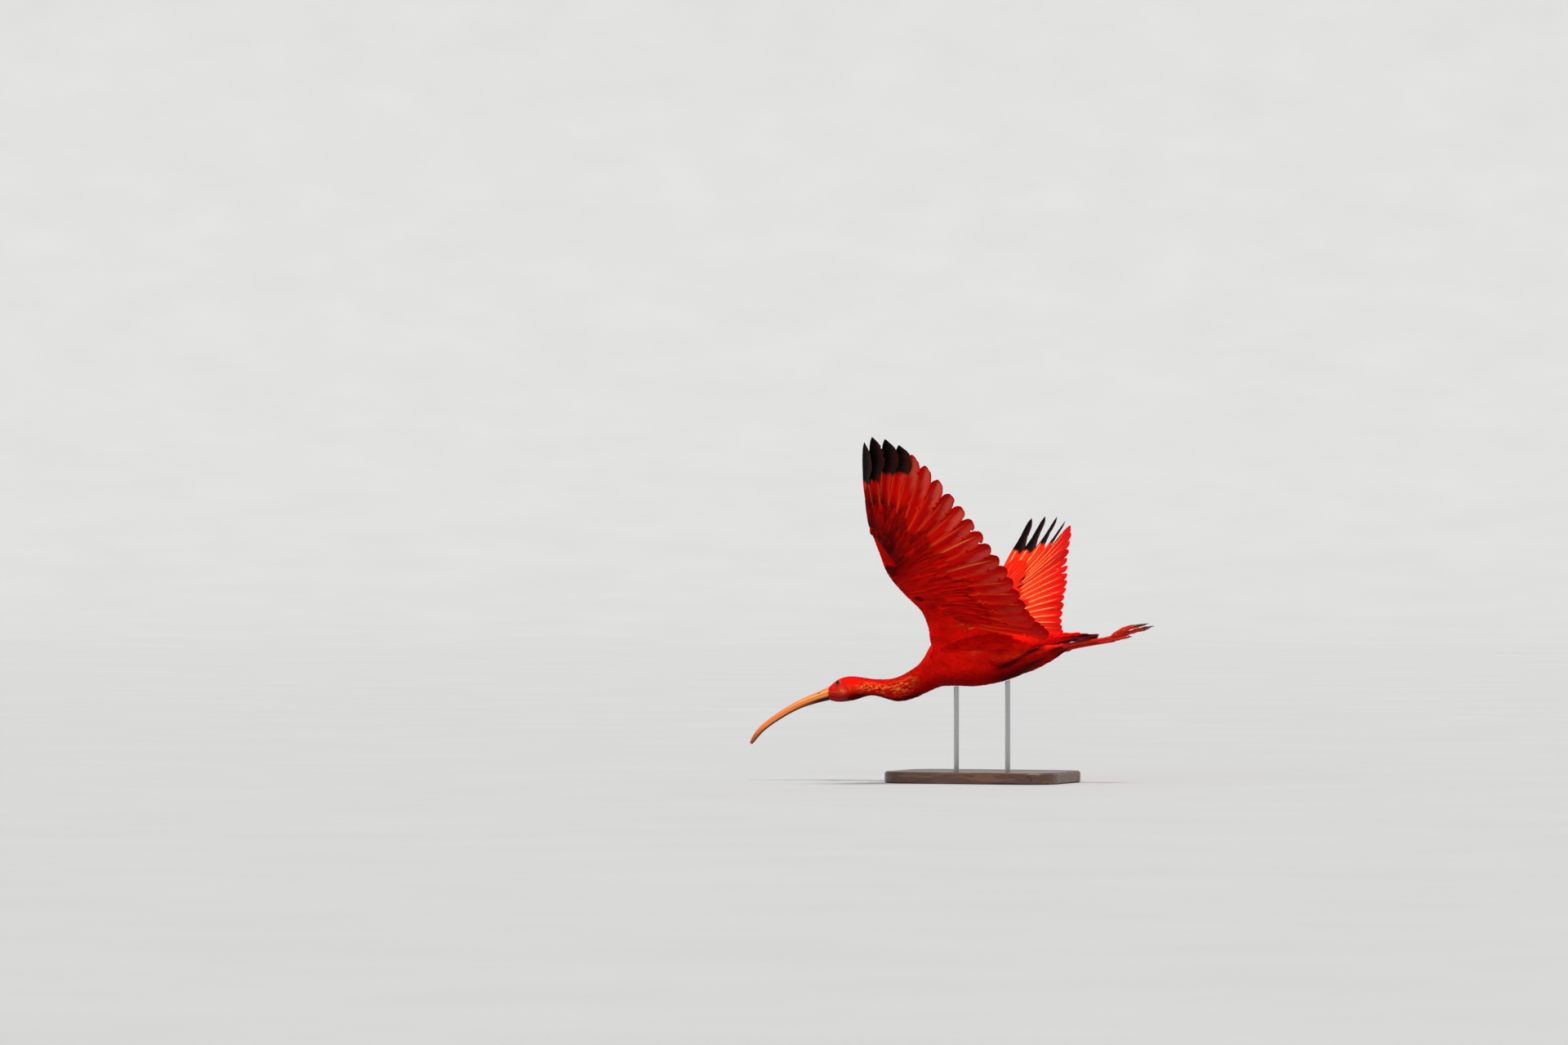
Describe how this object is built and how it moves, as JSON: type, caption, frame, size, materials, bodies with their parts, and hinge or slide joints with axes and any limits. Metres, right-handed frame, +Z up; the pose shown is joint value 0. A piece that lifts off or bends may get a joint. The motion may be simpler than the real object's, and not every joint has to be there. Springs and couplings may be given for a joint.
{
  "type": "scarlet ibis",
  "caption": "Life-size still model of a wading bird in flight, wings raised and neck and legs stretched out, held by rods over a flat display base.",
  "frame": {"origin": "centre of the underside of the stand's base, on the floor", "axes": "+Z up, the bird flies towards -X, its right wing is on the +Y side; it is pitched 11.7 degrees nose down and banked 10.1 degrees to its right"},
  "size_m": [0.6597, 0.7412, 0.5333],
  "materials": {
    "plumage": "matte scarlet feathers, black on the tips of the four outermost primaries of each wing",
    "skin": "satin bare skin",
    "bill": "satin horn, darker along the edge and at the tip",
    "eye": "wet gloss",
    "wood": "dark oiled",
    "rod": "brushed"
  },
  "bodies": {
    "root": {"head": "skin", "eye_left": "eye", "eye_right": "eye", "bill_upper": "bill", "bill_lower": "bill", "neck_upper": "plumage", "neck_lower": "plumage", "torso": "plumage", "tail": "plumage", "wing_left": "plumage", "wing_right": "plumage", "thigh_left": "plumage", "thigh_right": "plumage", "shank_left": "skin", "shank_right": "skin", "foot_left": "skin", "foot_right": "skin", "stand_base": "wood", "stand_rod_front": "rod", "stand_rod_rear": "rod"}
  },
  "joints": []
}
